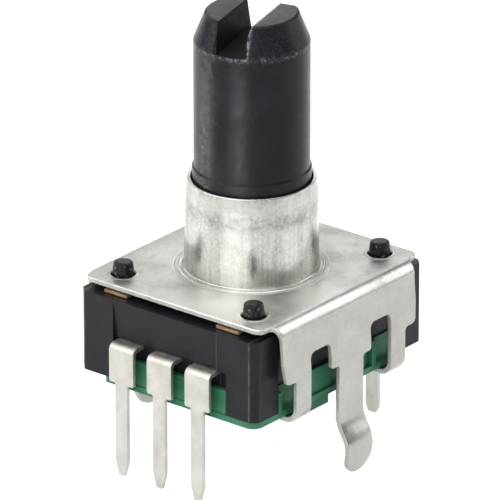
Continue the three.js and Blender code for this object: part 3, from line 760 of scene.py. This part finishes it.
def build_base():
    x, y, top = BASE_HALF_X, base_high.y, base_high.z
    outline = rounded([(x, -y, 0.6), (x, y, 0.6), (-x, y, 0.6), (-x, -y, 0.6)], 8)
    body = plan_block("base_moulding", outline, BASE_FLOOR, BASE_LIP)
    combine(body, base_parts(), "UNION")
    tools = [drum(SWITCH_WELL, 1.0, top + 1)]
    for pin_x in (-PITCH, PITCH):
        for start_y, start_z in ((0, 1.0), (GROOVE_OPEN_Y, 0.0)):
            tools.append(block(pin_x - GROOVE_HALF, pin_x + GROOVE_HALF, start_y, y + 1,
                               start_z, GROOVE_TOP))
    for side in (-1, 1):
        for corner_x, corner_y in ((4.05, 5.8), (4.85, 5.03)):
            tools.append(block(*sorted((side * corner_x, side * 8)), *sorted((side * corner_y, side * 8)),
                               0.0, BASE_LIP + 0.02))
    combine(body, tools, "DIFFERENCE")
    soften_edges(body, 0.05, 2)
    place_piece(body, "frame", GREEN, "green_moulding", "switch_base")


# ---------------------------------------------------------------- pins


def build_signal_pin(letter, x, contact_y):
    """A strip that runs out of the housing, bends down and narrows to a pointed tail."""
    front, tip_z = -signal_pin_low.y, signal_pin_low.z
    path = Path([(1.2 - contact_y, PIN_TOP, 0), (front, PIN_TOP, PIN_BEND), (front, tip_z, 0)])
    shoulder, taper = path.length_at_z(PIN_SHOULDER_Z), path.length_at_z(PIN_TAPER_Z)
    half = [
        (0, PIN_HEAD_HALF, 0.05), (shoulder, PIN_HEAD_HALF, 0.12), (shoulder, PIN_TAIL_HALF, 0.1),
        (taper, PIN_TAIL_HALF, 0.3), (path.lengths[-1], PIN_TIP_HALF, 0.08),
    ]
    corners = [(s, -y, r) for s, y, r in half] + [(s, y, r) for s, y, r in reversed(half)]
    bm = stamped(rounded(corners, 5), [], PIN_THICKNESS, edge=0.045)
    slice_across(bm, path.lengths[1:-1])

    def place(length, across, depth):
        point = path.at(length, depth)
        return Vector((x + across, -point.x, point.y))

    bend(bm, place)
    obj = make_object(f"signal_pin_{letter}", bm)
    weight_normals(obj)
    place_piece(obj, "frame", PIN, "tinned_pin", f"pin_{letter}")


# ---------------------------------------------------------------- shaft


def turned(obj):
    obj.data.transform(Matrix.Rotation(SHAFT_TURN, 4, "Z"))
    return obj


def key_tool():
    """Drum with two flats, which turns the rotor."""
    circle = arc(0, 0, KEY_RADIUS, 0, 360, 96)[:-1]
    outline = [(max(-KEY_HALF, min(KEY_HALF, x)), y) for x, y in circle]
    return turned(plan_block("tool", outline, BEARING_BOTTOM - 0.1, KEY_TOP))


def slot_tool():
    """Slot across the tip, which opens a little towards the top."""
    section = [(-SLOT_HALF, SLOT_FLOOR), (SLOT_HALF, SLOT_FLOOR), (SLOT_HALF_TOP, SHAFT_TOP),
               (SLOT_HALF_TOP, SHAFT_TOP + 1), (-SLOT_HALF_TOP, SHAFT_TOP + 1), (-SLOT_HALF_TOP, SHAFT_TOP)]
    return turned(prism("tool", *([(x, y, z) for x, z in section] for y in (-5, 5))))


def build_shaft():
    profile = rounded([
        (0, PIP_BOTTOM, 0), (PIP_RADIUS - 0.2, PIP_BOTTOM, 0), (PIP_RADIUS, PIP_BOTTOM + 0.2, 0.1),
        (PIP_RADIUS, BEARING_BOTTOM, 0), (BEARING_RADIUS, BEARING_BOTTOM, 0),
        (BEARING_RADIUS, BEARING_TOP - 0.08, 0.05), (SHAFT_RADIUS, BEARING_TOP, 0.05),
        (SHAFT_RADIUS, TAPER_Z, 0.12), (TIP_RADIUS, SHAFT_TOP - 0.08, 0.1),
        (TIP_RADIUS - 0.12, SHAFT_TOP, 0.06), (0, SHAFT_TOP, 0),
    ], 5, closed=False)
    bm = bmesh.new()
    lathe(bm, profile, 160, closed=False)
    body = make_object("shaft_moulding_body", bm)
    combine(body, [key_tool()], "UNION")
    flat = turned(block(-5, 5, FLAT_Y, 5, FLAT_BOTTOM, 25))
    combine(body, [flat, slot_tool()], "DIFFERENCE")
    soften_edges(body, 0.05)
    place_piece(body, "shaft", SHAFT_BLACK, "shaft_moulding", "shaft")
    # Painted shade: the faces inside the slot take the low-reflecting copy of the shaft plastic.
    body.data.materials.append(SLOT_BLACK)
    for face in body.data.polygons:
        centre = Matrix.Rotation(-SHAFT_TURN, 3, "Z") @ face.center / MM
        if abs(centre.x) < SLOT_HALF_TOP + 0.015 and centre.z > SLOT_FLOOR - 0.02:
            face.material_index = 1


# ---------------------------------------------------------------- snap dome


def build_dome():
    """Thin domed sheet, built at rest; the real dome flattens under the push plate's nub as the shaft goes
    down.
    """
    radius, bottom = dome_high.x, dome_low.z
    rise = dome_high.z - bottom - DOME_SHEET
    shares = [i / 24 for i in range(25)]
    lower = [(radius * share, bottom + rise * (1 - share ** 2)) for share in shares]
    upper = [(r, z + DOME_SHEET) for r, z in reversed(lower)]
    bm = bmesh.new()
    lathe(bm, lower + upper, 96)
    obj = make_object("dome_sheet", bm)
    place_piece(obj, "frame", DOME, "dome_steel", "switch_dome")
    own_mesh(obj)


# ---------------------------------------------------------------- assembly


def dress(material, *nodes):
    """Frame solids whose shape is right keep their mesh and get the finer material."""
    for node in nodes:
        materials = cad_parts[node].data.materials
        materials.clear()
        materials.append(material)


build_bracket()
build_housing()
for number, (peg_x, peg_y) in enumerate(PEGS, 1):
    build_peg(number, peg_x, peg_y)
build_base()
for signal_pin in SIGNAL_PINS:
    build_signal_pin(*signal_pin)
build_shaft()
build_dome()
dress(ACETAL, "rotor", "push_plate")
dress(CONTACT, "code_plate", "brush_a", "brush_b", "brush_c")
dress(PIN, "switch_pin_d", "switch_pin_e")
dress(BRONZE, "click_spring")

# ---------------------------------------------------------------- stage

AIM = Vector((-0.083, -0.052, 6.751)) * MM
CAMERA_AZIMUTH, CAMERA_ELEVATION, CAMERA_DISTANCE, LENS = 38.9, 23.03, 408.4, 571.1

# Soft boxes that face the object: name, azimuth, elevation, distance, width, height in mm, watts.
LIGHTS = [
    ("key", 2, 34, 220, 280, 190, 0.34),
    ("left", -50, 30, 220, 150, 170, 0.175),
    ("left_core", -100, 24, 220, 120, 120, 0.05),
    ("side", 146, 26, 220, 150, 240, 0.06),
    ("side_core", 147, 27, 210, 120, 130, 0.06),
    ("overhead", 40, 85, 220, 200, 200, 0.2),
    ("back", 214, 28, 220, 120, 120, 0.05),
]

# Narrow lights straight down on the floor, which the shaft mirrors: name, azimuth, watts.
FLOOR_POOLS = [("floor_pool_right", 13, 0.03), ("floor_pool_left", -60, 0.0275)]
POOL_REACH, POOL_DISTANCE, POOL_SIZE, POOL_SPREAD = 47, 200, 24, 5


def toward(azimuth, elevation):
    """Unit vector from the object, with azimuth 0 in front and angles in degrees."""
    azimuth, elevation = math.radians(azimuth), math.radians(elevation)
    flat = math.cos(elevation)
    return Vector((math.sin(azimuth) * flat, -math.cos(azimuth) * flat, math.sin(elevation)))


def add_facing(name, data, aim, back, distance):
    """Links a camera or light that looks back at its aim from a distance in mm."""
    obj = bpy.data.objects.new(name, data)
    scene.collection.objects.link(obj)
    obj.location = aim + back * distance * MM
    obj.rotation_mode = "QUATERNION"
    obj.rotation_quaternion = (-back).to_track_quat("-Z", "Y")
    return obj


def add_camera():
    data = bpy.data.cameras.new("camera")
    data.lens = LENS
    data.sensor_width = 36
    data.clip_start, data.clip_end = 0.01, 10
    back = toward(CAMERA_AZIMUTH, CAMERA_ELEVATION)
    scene.camera = add_facing("camera", data, AIM, back, CAMERA_DISTANCE)


def add_light(name, azimuth, elevation, distance, width, height, power, aim=AIM, spread=180):
    data = bpy.data.lights.new(name, "AREA")
    data.shape = "RECTANGLE"
    data.size, data.size_y = width * MM, height * MM
    data.energy = power
    data.spread = math.radians(spread)
    add_facing(name, data, aim, toward(azimuth, elevation), distance)


def add_floor():
    bm = bmesh.new()
    bmesh.ops.create_grid(bm, x_segments=1, y_segments=1, size=1500)
    bmesh.ops.translate(bm, vec=(0, 0, FLOOR_Z), verts=bm.verts[:])
    floor = make_object("floor", bm)
    n = Nodes("floor_paper")
    color = n.mix(n.noise(0.05, 2), (0.4, 0.4, 0.4), (0.42, 0.42, 0.42))
    n.shader.inputs["Emission Color"].default_value = (1, 1, 1, 1)
    n.shader.inputs["Emission Strength"].default_value = 0.84
    floor.data.materials.append(n.finish(color, n.remap(n.noise(0.2, 2), 0, 1, 0.8, 0.95)))


def set_world():
    world = bpy.data.worlds.new("studio")
    world.use_nodes = True
    background = world.node_tree.nodes["Background"]
    background.inputs["Color"].default_value = (1, 1, 1, 1)
    background.inputs["Strength"].default_value = 0.4
    scene.world = world


add_camera()
add_floor()
for light in LIGHTS:
    add_light(*light)
for name, azimuth, power in FLOOR_POOLS:
    spot = (toward(azimuth, 0) * POOL_REACH + Vector((0, 0, FLOOR_Z))) * MM
    add_light(name, azimuth, 89.9, POOL_DISTANCE, POOL_SIZE, POOL_SIZE, power, spot, POOL_SPREAD)
set_world()
scene.view_settings.view_transform = "Standard"
